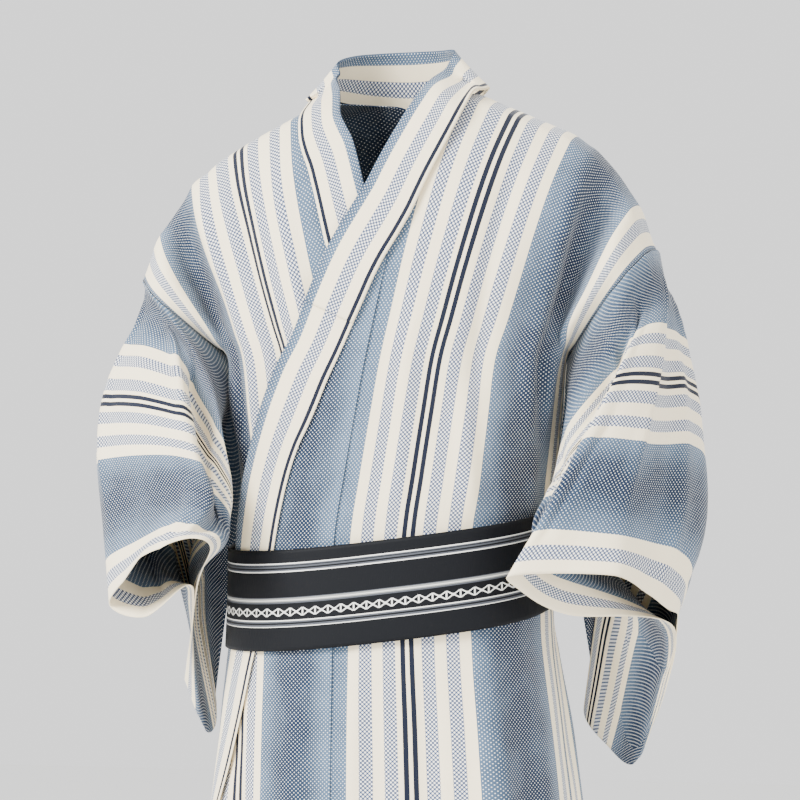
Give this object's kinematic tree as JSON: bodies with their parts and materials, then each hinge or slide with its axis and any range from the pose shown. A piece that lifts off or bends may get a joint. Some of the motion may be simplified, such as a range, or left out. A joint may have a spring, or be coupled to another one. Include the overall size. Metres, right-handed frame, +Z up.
{
  "type": "yukata robe",
  "caption": "Worn cotton yukata robe with striped panels, crossed collar, hanging sleeves and a plain knotted obi belt, held hollow in its worn shape.",
  "frame": {"origin": "between the shoulders at the level of the base of the neck, where the robe is held", "axes": "+Z up, the front faces -Y, the wearer's left is +X"},
  "size_m": [0.6079, 0.3609, 1.4455],
  "materials": {
    "body": "matte plain-weave cotton with blue and cream stripes",
    "overlap": "matte plain-weave cotton with blue and cream stripes",
    "sleeve": "matte plain-weave cotton with blue and cream stripes",
    "collar": "matte plain-weave cotton with cream and blue stripes",
    "belt": "matte ribbed weave, near black with fine white bands"
  },
  "bodies": {
    "root": {"left_body": "body", "right_body": "body", "left_okumi": "overlap", "right_okumi": "overlap", "left_sleeve": "sleeve", "right_sleeve": "sleeve", "collar": "collar", "over_collar": "collar", "obi": "belt", "obi_knot": "belt", "obi_end_upper": "belt", "obi_end_lower": "belt"}
  },
  "joints": []
}
